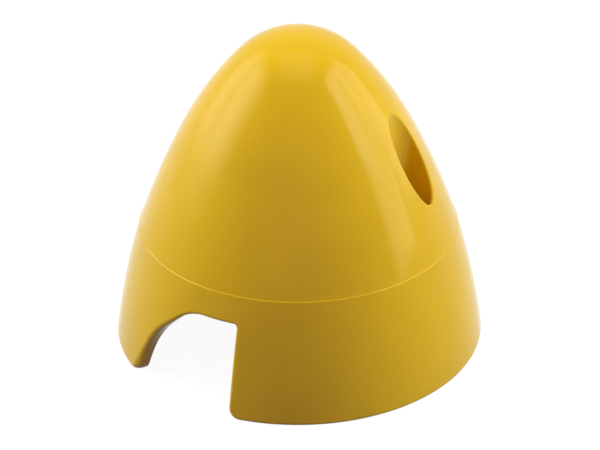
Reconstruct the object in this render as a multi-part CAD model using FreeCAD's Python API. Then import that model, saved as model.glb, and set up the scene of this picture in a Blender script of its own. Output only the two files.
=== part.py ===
import FreeCAD, Part
import math
import os

from FreeCAD import Vector

# One-piece moulded spinner for a two-blade model propeller.
# Lengths are in millimetres and angles in degrees. The origin is the centre of the base,
# +Z points at the nose, and the first screw stands on +X.

# Shell. A slope is how far the outer surface leans in from vertical.
base_radius = 28.5              # 57 mm across the base
wall = 1.8
skirt_height = 18.7             # base to the parting ledge
skirt_slope = 8.1               # at the base
skirt_bow = 123.7               # radius of the skirt's gentle curve
parting_ledge = 0.12            # how far the skirt stands proud of the flank
flank_break = 2.2               # extra slope where the flank starts
flank_turn = 8.3                # slope that the flank gains on its way up
flank_bow = 118.5
shoulder_turn = 15.2            # slope that the shoulder gains below the nose
shoulder_bow = 53.8
edge_rounding = 0.45            # outer edge of the base and of the blade openings
slant_rounding = 1.3            # the same edge low on an opening's slanted side, which is softer

# Blade openings, drawn on the plane that touches the base circle at their middle
blade_count = 2
share_lead = 38.0               # each blade's share of the shell starts this far before its opening
opening_angle = -108.6          # middle of the first opening, from the first screw
opening_width = 19.9            # at the base
opening_top_strip = 4.2         # skirt left between the flat top and the parting ledge
foot_lean = 21.3                # the slanted side at its foot, from vertical
slant_rise = 6.6                # height that the slant climbs over the blade root
slant_angle = 39.8              # above the horizontal
slant_foot_radius = 15.7
slant_top_radius = 8.2
straight_side_lean = 2.3
straight_side_radius = 0.6      # corner of the straight side and the flat top
slanted_tip_radius = 2.0        # corner of the slanted side and the base
straight_tip_radius = 1.7       # corner of the straight side and the base

# Screws that pull the spinner onto its backplate, one between each pair of blades
screw_inset = 10.65             # from the base's edge to the screw's axis
screw_hole_radius = 1.7
well_radius = 3.2               # clears the screw head, open through the shell
well_floor = 22.0               # height of the seat under the screw head
well_wall = 1.6
well_rim_rounding = 0.3
seat_thickness = 2.0
pillar_wall = 1.7
pillar_foot = 2.5               # height of the backplate's raised middle, which it stands on
rib_thickness = 1.6

overrun = 5.0                   # how far a cutter passes what it opens
near = 0.01                     # closer than this, two heights or points are the same

opening_height = skirt_height - opening_top_strip
seam_angle = opening_angle - share_lead
screw_offset = base_radius - screw_inset
base_centre = Vector(0, 0, 0)
up = Vector(0, 0, 1)


def outward(slope):
    # Unit normal of an outer surface with this slope, in the XZ plane.
    lean = math.radians(slope)
    return Vector(math.cos(lean), 0, math.sin(lean))


def repeated(shape):
    # The shape once for each blade, evenly round the axis.
    copies = [shape.rotated(base_centre, up, index * 360 / blade_count)
              for index in range(blade_count)]
    return Part.makeCompound(copies)


def shell_arcs():
    # The outline from base to nose: each arc's centre, radius, first and last slope.
    centre = Vector(base_radius, 0, 0) - outward(skirt_slope) * skirt_bow
    skirt_rise = math.sin(math.radians(skirt_slope)) + skirt_height / skirt_bow
    slope = math.degrees(math.asin(skirt_rise))
    arcs = [(centre, skirt_bow, skirt_slope, slope)]

    start = centre + outward(slope) * skirt_bow + Vector(-parting_ledge, 0, parting_ledge)
    slope = slope + flank_break
    for radius, turn in ((flank_bow, flank_turn), (shoulder_bow, shoulder_turn)):
        centre = start - outward(slope) * radius
        arcs.append((centre, radius, slope, slope + turn))
        slope = slope + turn
        start = centre + outward(slope) * radius

    # The nose carries on at the same slope and closes on the axis.
    nose_radius = start.x / math.cos(math.radians(slope))
    arcs.append((start - outward(slope) * nose_radius, nose_radius, slope, 90))
    return arcs


def shell_section(inset):
    # Half section of the solid this far inside the outer surface.
    edges = []
    end = None
    for centre, radius, first_slope, last_slope in shell_arcs():
        slopes = (first_slope, (first_slope + last_slope) / 2, last_slope)
        points = [centre + outward(slope) * (radius - inset) for slope in slopes]
        if end and end.distanceToPoint(points[0]) > near:
            edges.append(Part.makeLine(end, points[0]))
        edges.append(Part.Arc(*points).toShape())
        end = points[-1]
    foot = edges[0].firstVertex().Point
    heel = Vector(0, 0, foot.z)
    edges.append(Part.makeLine(end, heel))
    edges.append(Part.makeLine(heel, foot))
    return Part.Face(Part.Wire(edges))


def rounded_wire(corners):
    # Closed wire round the corners, each a point and the radius that turns it.
    stops = []
    for index, (corner, radius) in enumerate(corners):
        back = (corners[index - 1][0] - corner).normalize()
        ahead = (corners[(index + 1) % len(corners)][0] - corner).normalize()
        half_angle = back.getAngle(ahead) / 2
        inward = (back + ahead).normalize()
        reach = radius / math.tan(half_angle)
        middle = corner + inward * (radius / math.sin(half_angle) - radius)
        stops.append((corner + back * reach, middle, corner + ahead * reach))
    edges = []
    for index, (first, middle, last) in enumerate(stops):
        edges.append(Part.makeLine(stops[index - 1][2], first))
        if first.distanceToPoint(last) > near:
            edges.append(Part.Arc(first, middle, last).toShape())
    return Part.Wire(edges)


def opening_outline():
    # Outline of a blade opening on the plane x = base_radius, run on below the base.
    half_width = opening_width / 2
    foot_run = math.tan(math.radians(foot_lean))
    side_run = math.tan(math.radians(straight_side_lean))
    turn_height = opening_height - slant_rise
    turn = -half_width + foot_run * turn_height
    crown = turn + slant_rise / math.tan(math.radians(slant_angle))

    # The foot stays straight for as far as its tip is rounded.
    straight_foot = turn_height / math.cos(math.radians(foot_lean)) - slanted_tip_radius
    half_bend = math.radians(90 - foot_lean - slant_angle) / 2
    foot_radius = min(slant_foot_radius, straight_foot / math.tan(half_bend))

    corners = (
        (-half_width - foot_run * overrun, -overrun, 0),
        (turn, turn_height, foot_radius),
        (crown, opening_height, slant_top_radius),
        (half_width + side_run * opening_height, opening_height, straight_side_radius),
        (half_width - side_run * overrun, -overrun, 0),
    )
    return rounded_wire([(Vector(base_radius, y, z), radius) for y, z, radius in corners])


def opening_cutter():
    # The outline carried from inside the shell to outside it. Its sides point at the axis.
    outline = opening_outline()
    sections = []
    for distance in (base_radius / 2, base_radius + overrun):
        spread = distance / base_radius
        section = outline.transformGeometry(FreeCAD.Matrix(
            1, 0, 0, distance - base_radius,
            0, spread, 0, 0,
            0, 0, 1, 0,
            0, 0, 0, 1))
        sections.append(section)
    return Part.makeLoft(sections, True, True)


def past_seam(point):
    # Degrees round the axis since the last seam between blades. The slanted side of an
    # opening comes first, then its middle at share_lead, and then its straight side.
    bearing = math.degrees(math.atan2(point.y, point.x)) - seam_angle
    return (bearing + near) % (360 / blade_count)


def tip_edges(body, on_straight_side):
    # Edges of the base that run in from its rim, along one side of the opening.
    edges = []
    for edge in body.Edges:
        ends = [vertex.Point for vertex in edge.Vertexes]
        if max(abs(end.z) for end in ends) > near:
            continue
        outer = max(ends, key=lambda end: end.Length)
        inner = min(ends, key=lambda end: end.Length)
        if outer.Length - inner.Length < near or inner.Length < near:
            continue
        if (past_seam(outer) > share_lead) == on_straight_side:
            edges.append(edge)
    return edges


def outer_edges(body):
    # Outer edges of the base and the opening: the skirt's own, but for its top and ends.
    edges = []
    for face in body.Faces:
        box = face.BoundBox
        if abs(box.ZMin) < near and abs(box.ZMax - skirt_height) < near:
            edges += [edge for edge in face.Edges if edge.BoundBox.ZMax < opening_height + near]
    return edges


def rounding_at(point):
    # Radius of the outer edge, which grows down the slanted side and ends with its tip.
    if point.z < near or past_seam(point) > share_lead:
        return edge_rounding
    drop = 1 - point.z / opening_height
    return edge_rounding + (slant_rounding - edge_rounding) * drop


def round_outer_edges(body):
    # A fillet feature, because its radius may change along each edge. An edge's first radius
    # is for the end that comes first round the axis.
    outer = outer_edges(body)
    radii = []
    for number, edge in enumerate(body.Edges, 1):
        if any(edge.isSame(other) for other in outer):
            ends = sorted((vertex.Point for vertex in edge.Vertexes), key=past_seam)
            radii.append((number, rounding_at(ends[0]), rounding_at(ends[1])))

    document = FreeCAD.newDocument()
    block = document.addObject("Part::Feature", "block")
    block.Shape = body
    fillet = document.addObject("Part::Fillet", "fillet")
    fillet.Base = block
    fillet.Edges = radii
    document.recompute()
    return fillet.Shape


def opened_body():
    # The shell as a solid block, with its blade openings and rounded edges. One blade's
    # share of it is made and then repeated.
    share = shell_section(0).revolve(base_centre, up, 360 / blade_count)
    share.rotate(base_centre, up, seam_angle)
    share = share.cut(opening_cutter().rotated(base_centre, up, opening_angle))
    share = share.makeFillet(slanted_tip_radius, tip_edges(share, False))
    share = share.makeFillet(straight_tip_radius, tip_edges(share, True))
    shares = repeated(round_outer_edges(share)).Solids
    return shares[0].fuse(shares[1:])


def screw_post(radius, bottom, top):
    # Upright cylinder round the first screw's axis.
    return Part.makeCylinder(radius, top - bottom, Vector(screw_offset, 0, bottom))


def well_rim_edges(body):
    # Edges where the screw-head wells come out through the shell.
    edges = []
    for face in body.Faces:
        surface = face.Surface
        if surface.TypeId == "Part::GeomCylinder" and abs(surface.Radius - well_radius) < near:
            edges += [edge for edge in face.Edges if edge.BoundBox.ZMin > well_floor + near]
    return edges


def add_screw_ways(body):
    # The wells for the screw heads, with rounded rims, and the holes below them.
    nose = body.BoundBox.ZMax
    body = body.cut(repeated(screw_post(well_radius, well_floor, nose)))
    body = body.makeFillet(well_rim_rounding, well_rim_edges(body))
    return body.cut(repeated(screw_post(screw_hole_radius, -overrun, well_floor + overrun)))


def screw_support():
    # What stays round the first screw: well wall and seat, pillar, and its rib to the skirt.
    above_nose = 2 * base_radius
    seat_bottom = well_floor - seat_thickness
    housing = screw_post(well_radius + well_wall, seat_bottom, above_nose)
    pillar = screw_post(screw_hole_radius + pillar_wall, pillar_foot, well_floor)
    rib_corner = Vector(screw_offset, -rib_thickness / 2, pillar_foot)
    rib = Part.makeBox(base_radius, rib_thickness, well_floor - pillar_foot, rib_corner)
    return housing.fuse([pillar, rib])


def spinner_cone():
    # The rounded block, hollowed all round the screw supports.
    hollow = shell_section(wall).revolve(base_centre, up, 360).cut(repeated(screw_support()))
    return add_screw_ways(opened_body()).cut(hollow).removeSplitter()


os.makedirs("parts", exist_ok=True)
spinner_cone().exportStep("parts/spinner_cone.step")
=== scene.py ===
import math

import bpy
from mathutils import Matrix, Vector


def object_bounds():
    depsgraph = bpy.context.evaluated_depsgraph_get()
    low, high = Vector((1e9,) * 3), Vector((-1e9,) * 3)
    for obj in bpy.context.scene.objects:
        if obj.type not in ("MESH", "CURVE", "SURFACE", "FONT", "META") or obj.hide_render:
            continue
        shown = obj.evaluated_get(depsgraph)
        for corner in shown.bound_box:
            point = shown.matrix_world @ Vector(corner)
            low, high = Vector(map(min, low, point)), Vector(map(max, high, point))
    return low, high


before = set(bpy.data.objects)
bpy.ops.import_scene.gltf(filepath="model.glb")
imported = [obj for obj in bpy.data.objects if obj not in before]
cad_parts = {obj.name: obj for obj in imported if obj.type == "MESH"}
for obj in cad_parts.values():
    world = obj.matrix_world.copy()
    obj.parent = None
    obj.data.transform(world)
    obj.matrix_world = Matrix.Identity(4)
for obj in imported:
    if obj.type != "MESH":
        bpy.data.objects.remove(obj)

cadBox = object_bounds()
baseRadius = (cadBox[1].x - cadBox[0].x) / 2
coneHeight = cadBox[1].z - cadBox[0].z
print(f"frame loaded: cone {baseRadius * 2000:.1f} mm across and {coneHeight * 1000:.1f} mm high")


# the next four are short ways to build shader nodes
def newMaterial(name):
    made = bpy.data.materials.new(name)
    made.use_nodes = True
    made.node_tree.nodes.clear()
    return made, made.node_tree.nodes, made.node_tree.links


def addMath(nodes, links, kind, first, second):
    node = nodes.new("ShaderNodeMath")
    node.operation = kind
    for slot, value in enumerate((first, second)):
        if isinstance(value, (int, float)):
            node.inputs[slot].default_value = value
        else:
            links.new(value, node.inputs[slot])
    return node.outputs[0]


def addNoise(nodes, links, place, size, detail):
    # size is the width of one blotch in metres
    noise = nodes.new("ShaderNodeTexNoise")
    noise.inputs["Scale"].default_value = 1 / size
    noise.inputs["Detail"].default_value = detail
    links.new(place, noise.inputs["Vector"])
    return noise.outputs["Fac"]


def addRange(nodes, links, value, start, end, newStart=0.0, newEnd=1.0):
    # carries start to newStart and end to newEnd, and holds what lies beyond them
    spread = nodes.new("ShaderNodeMapRange")
    spread.inputs["From Min"].default_value = start
    spread.inputs["From Max"].default_value = end
    spread.inputs["To Min"].default_value = newStart
    spread.inputs["To Max"].default_value = newEnd
    links.new(value, spread.inputs["Value"])
    return spread.outputs["Result"]


# the cone's moulded nylon
nylonSettings = {
    "colour": (0.785, 0.512, 0.004),      # clean yellow
    "deepColour": (0.745, 0.477, 0.003),  # where the pigment lies thicker
    "blotchSize": 0.014,                  # lengths here are in metres
    "blotchSpread": (0.35, 0.60),         # noise values of the deep and the clean yellow
    "shine": 0.19,                        # specular level
    "roughness": 0.13,
    "smudge": 0.03,                       # how far handling dulls or shines the gloss
    "smudgeSize": 0.0056,
    "smudgeSpread": (0.30, 0.70),         # noise values of the most shine and the least
    "insideRoughness": 0.20,              # added where the mould's core was left satin
    "insideHeight": 0.3,                  # satin faces look to this point of the axis, in cone heights
    "insideSpread": (0.002, 0.006),       # its distance before a face where satin starts and is full
    "waveSize": 0.0065,                   # slow sink waves in the wall
    "waveHeight": 0.00004,
    "grainSize": 0.00045,                 # fine skin of the mould
    "grainHeight": 0.0000012,
    "scuffLength": 0.012,                 # hairline scuffs from handling
    "scuffWidth": 0.00025,
    "scuffLean": (0.9, 0.5, 0.3),         # radians that turn their run
    "scuffSpread": (0.68, 0.74),          # noise values where a scuff starts and is full
    "scuffDulling": 0.10,
    "scuffDepth": 0.0000010,
}


def scuffMask(nodes, links, place):
    # thin broken lines, from noise stretched along one leaning direction
    look = nylonSettings
    turn = nodes.new("ShaderNodeMapping")
    turn.inputs["Rotation"].default_value = look["scuffLean"]
    turn.inputs["Scale"].default_value = (1, look["scuffWidth"] / look["scuffLength"], 1)
    links.new(place, turn.inputs["Vector"])
    lines = addNoise(nodes, links, turn.outputs[0], look["scuffWidth"], detail=1.0)
    return addRange(nodes, links, lines, *look["scuffSpread"])


def insideMask(nodes, links, place):
    # 1 where the surface faces a point inside the cone
    look = nylonSettings
    inward = nodes.new("ShaderNodeVectorMath")
    inward.operation = "SUBTRACT"
    inward.inputs[0].default_value = (0, 0, coneHeight * look["insideHeight"])
    links.new(place, inward.inputs[1])
    facing = nodes.new("ShaderNodeVectorMath")
    facing.operation = "DOT_PRODUCT"
    links.new(inward.outputs[0], facing.inputs[0])
    links.new(nodes.new("ShaderNodeNewGeometry").outputs["Normal"], facing.inputs[1])
    return addRange(nodes, links, facing.outputs["Value"], *look["insideSpread"])


def skinHeight(nodes, links, place, scuffs):
    # height of the skin in metres: waves and grain, less the scuffs
    look = nylonSettings
    waves = addNoise(nodes, links, place, look["waveSize"], detail=1.0)
    waves = addMath(nodes, links, "MULTIPLY", waves, look["waveHeight"])
    grain = addNoise(nodes, links, place, look["grainSize"], detail=2.0)
    grain = addMath(nodes, links, "MULTIPLY", grain, look["grainHeight"])
    cuts = addMath(nodes, links, "MULTIPLY", scuffs, look["scuffDepth"])
    height = addMath(nodes, links, "ADD", waves, grain)
    return addMath(nodes, links, "SUBTRACT", height, cuts)


def makeNylon():
    look = nylonSettings
    made, nodes, links = newMaterial("yellow_nylon")
    place = nodes.new("ShaderNodeTexCoord").outputs["Object"]
    body = nodes.new("ShaderNodeBsdfPrincipled")
    out = nodes.new("ShaderNodeOutputMaterial")
    links.new(body.outputs[0], out.inputs["Surface"])
    body.inputs["Specular IOR Level"].default_value = look["shine"]

    blotch = addNoise(nodes, links, place, look["blotchSize"], detail=3.0)
    mix = nodes.new("ShaderNodeMix")
    mix.data_type = "RGBA"
    mix.inputs["A"].default_value = (*look["deepColour"], 1)
    mix.inputs["B"].default_value = (*look["colour"], 1)
    links.new(addRange(nodes, links, blotch, *look["blotchSpread"]), mix.inputs["Factor"])
    links.new(mix.outputs["Result"], body.inputs["Base Color"])

    smudge = addNoise(nodes, links, place, look["smudgeSize"], detail=4.0)
    shiniest, dullest = look["roughness"] - look["smudge"], look["roughness"] + look["smudge"]
    rough = addRange(nodes, links, smudge, *look["smudgeSpread"], shiniest, dullest)
    scuffs = scuffMask(nodes, links, place)
    dulling = addMath(nodes, links, "MULTIPLY", scuffs, look["scuffDulling"])
    rough = addMath(nodes, links, "ADD", rough, dulling)
    satin = addMath(nodes, links, "MULTIPLY", insideMask(nodes, links, place), look["insideRoughness"])
    links.new(addMath(nodes, links, "ADD", rough, satin), body.inputs["Roughness"])

    bump = nodes.new("ShaderNodeBump")
    bump.inputs["Distance"].default_value = 1.0
    bump.inputs["Strength"].default_value = 1.0
    links.new(skinHeight(nodes, links, place, scuffs), bump.inputs["Height"])
    links.new(bump.outputs["Normal"], body.inputs["Normal"])
    return made


nylon = makeNylon()
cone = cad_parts["spinner_cone"]
for slot in cone.material_slots:
    slot.material = nylon
print("cone finished in yellow nylon")


# white floor that keeps the cone's shadow
floorSettings = {
    "size": 80.0,              # in base radii
    "drop": 0.00002,           # metres that it lies under the cone
    "colour": (0.10, 0.10, 0.10),
    "glow": 0.95,              # white background over the lit floor, near the cone
    "glowReach": (3.0, 7.0),   # base radii over which that grows to full white
}


def backgroundRays(nodes, links):
    # 1 for what the camera sees directly, in gloss or through glass
    path = nodes.new("ShaderNodeLightPath")
    seen = addMath(nodes, links, "ADD", path.outputs["Is Camera Ray"], path.outputs["Is Glossy Ray"])
    return addMath(nodes, links, "ADD", seen, path.outputs["Is Transmission Ray"])


def makeFloor():
    look = floorSettings
    under = cadBox[0].z - look["drop"]
    bpy.ops.mesh.primitive_plane_add(size=look["size"] * baseRadius, location=(0, 0, under))
    floor = bpy.context.object
    floor.name = "floor"
    made, nodes, links = newMaterial("floor")
    lit = nodes.new("ShaderNodeBsdfDiffuse")
    lit.inputs["Color"].default_value = (*look["colour"], 1)
    away = nodes.new("ShaderNodeVectorMath")
    away.operation = "LENGTH"
    links.new(nodes.new("ShaderNodeTexCoord").outputs["Object"], away.inputs[0])
    near, far = (reach * baseRadius for reach in look["glowReach"])
    white = addRange(nodes, links, away.outputs["Value"], near, far, look["glow"])
    white = addMath(nodes, links, "MULTIPLY", backgroundRays(nodes, links), white)
    glow = nodes.new("ShaderNodeEmission")
    links.new(white, glow.inputs["Strength"])
    both = nodes.new("ShaderNodeAddShader")
    links.new(lit.outputs[0], both.inputs[0])
    links.new(glow.outputs[0], both.inputs[1])
    out = nodes.new("ShaderNodeOutputMaterial")
    links.new(both.outputs[0], out.inputs["Surface"])
    floor.data.materials.append(made)


makeFloor()
print("floor laid under the cone")


# the camera, round which the lamps are placed
cameraSettings = {
    "azimuth": 22.68,          # degrees round from the side that faces -Y, as all angles here
    "elevation": 29.16,
    "distance": 12.0,          # in base radii, from the pivot
    "pivotHeight": 0.8,        # in base radii
    "lens": 134.44,            # millimetres
    "tilt": 0.745,             # further down than the pivot
    "pan": 0.04,               # further right than the pivot
    "roll": -0.44,             # below zero is clockwise
}


def viewDirection(azimuth, elevation):
    # from the cone towards a viewer at this azimuth and elevation
    around, above = math.radians(azimuth), math.radians(elevation)
    level = math.cos(above)
    return Vector((math.sin(around) * level, -math.cos(around) * level, math.sin(above)))


def makeCamera():
    view = cameraSettings
    pivot = Vector((0, 0, view["pivotHeight"] * baseRadius))
    back = viewDirection(view["azimuth"], view["elevation"])
    camera = bpy.data.objects.new("camera", bpy.data.cameras.new("camera"))
    camera.data.lens = view["lens"]
    facing = (-back).to_track_quat("-Z", "Y").to_matrix()
    turn = Matrix.Rotation(math.radians(view["roll"]), 3, "Z")
    turn = turn @ Matrix.Rotation(math.radians(-view["tilt"]), 3, "X")
    turn = turn @ Matrix.Rotation(math.radians(-view["pan"]), 3, "Y")
    place = Matrix.Translation(pivot + back * view["distance"] * baseRadius)
    camera.matrix_world = place @ (facing @ turn).to_4x4()
    bpy.context.collection.objects.link(camera)
    bpy.context.scene.camera = camera


makeCamera()
bpy.context.scene.view_settings.view_transform = "Standard"
print("camera placed")


# soft lamps round the cone
lampSettings = {
    "distance": 10,            # in base radii, from the point that every lamp faces
    "aimHeight": 0.4,          # of that point, in cone heights
    # Each lamp: azimuth from the camera (right is positive) and elevation, then width and
    # height as the cone sees them, all in degrees. After those come its colour, its strength
    # and how much of its half width fades out.
    "lamps": {
        "leftBox": (-105, 30, 60, 62, (1.0, 0.97, 0.73), 3.45, 0.7),
        "leftStrip": (-87, 35, 34, 50, (0.97, 1.0, 0.55), 3.1, 0.5),
        "rightEdge": (72, 37, 14, 36, (1.0, 1.0, 0.95), 1.8, 0.02),
        "rightStrip": (80, 28, 24, 56, (1.0, 1.0, 0.62), 3.75, 0.02),
        "rightBox": (104, 28, 24, 56, (1.0, 0.93, 0.72), 3.2, 0.3),
        "topBox": (0, 88, 50, 50, (1.0, 0.85, 0.55), 1.55, 0.5),
        "frontFill": (-5, 25, 50, 44, (1.0, 0.45, 0.20), 1.0, 0.5),
    },
}


def fadeEdges(light, fade):
    # dims the lamp towards its edges, like the cloth of a softbox
    light.use_nodes = True
    nodes, links = light.node_tree.nodes, light.node_tree.links
    emission = next(node for node in nodes if node.type == "EMISSION")
    place = nodes.new("ShaderNodeNewGeometry").outputs["Parametric"]
    split = nodes.new("ShaderNodeSeparateXYZ")
    links.new(place, split.inputs[0])
    shares = []
    for axis in ("X", "Y"):
        off = addMath(nodes, links, "SUBTRACT", split.outputs[axis], 0.5)
        off = addMath(nodes, links, "ABSOLUTE", off, 0)
        share = addRange(nodes, links, off, 0.5, 0.5 - fade * 0.5)
        share.node.interpolation_type = "SMOOTHSTEP"
        shares.append(share)
    links.new(addMath(nodes, links, "MULTIPLY", *shares), emission.inputs["Strength"])


def makeLamp(name, azimuth, elevation, width, height, colour, strength, fade):
    distance = lampSettings["distance"] * baseRadius
    aim = Vector((0, 0, coneHeight * lampSettings["aimHeight"]))
    towards = viewDirection(cameraSettings["azimuth"] + azimuth, elevation)
    light = bpy.data.lights.new(name, "AREA")
    light.shape = "RECTANGLE"
    light.size = 2 * distance * math.tan(math.radians(width / 2))
    light.size_y = 2 * distance * math.tan(math.radians(height / 2))
    light.color = colour
    light.energy = strength * math.pi * light.size * light.size_y  # as bright at any size
    fadeEdges(light, fade)
    lamp = bpy.data.objects.new(name, light)
    lamp.location = aim + towards * distance
    lamp.rotation_euler = (-towards).to_track_quat("-Z", "Y").to_euler()
    bpy.context.collection.objects.link(lamp)


for name, values in lampSettings["lamps"].items():
    makeLamp(name, *values)
print(len(lampSettings["lamps"]), "lamps placed")


# faint light of the room, with a white background behind it
worldSettings = {"colour": (0.90, 1.0, 1.0), "strength": 0.12}


def makeWorld():
    world = bpy.data.worlds.new("studio")
    bpy.context.scene.world = world
    world.use_nodes = True
    nodes, links = world.node_tree.nodes, world.node_tree.links
    nodes.clear()
    room = nodes.new("ShaderNodeBackground")
    room.inputs["Color"].default_value = (*worldSettings["colour"], 1)
    room.inputs["Strength"].default_value = worldSettings["strength"]
    white = nodes.new("ShaderNodeBackground")
    white.inputs["Color"].default_value = (1, 1, 1, 1)
    mix = nodes.new("ShaderNodeMixShader")
    out = nodes.new("ShaderNodeOutputWorld")
    links.new(backgroundRays(nodes, links), mix.inputs["Fac"])
    links.new(room.outputs[0], mix.inputs[1])
    links.new(white.outputs[0], mix.inputs[2])
    links.new(mix.outputs[0], out.inputs["Surface"])


makeWorld()
print("room light set")
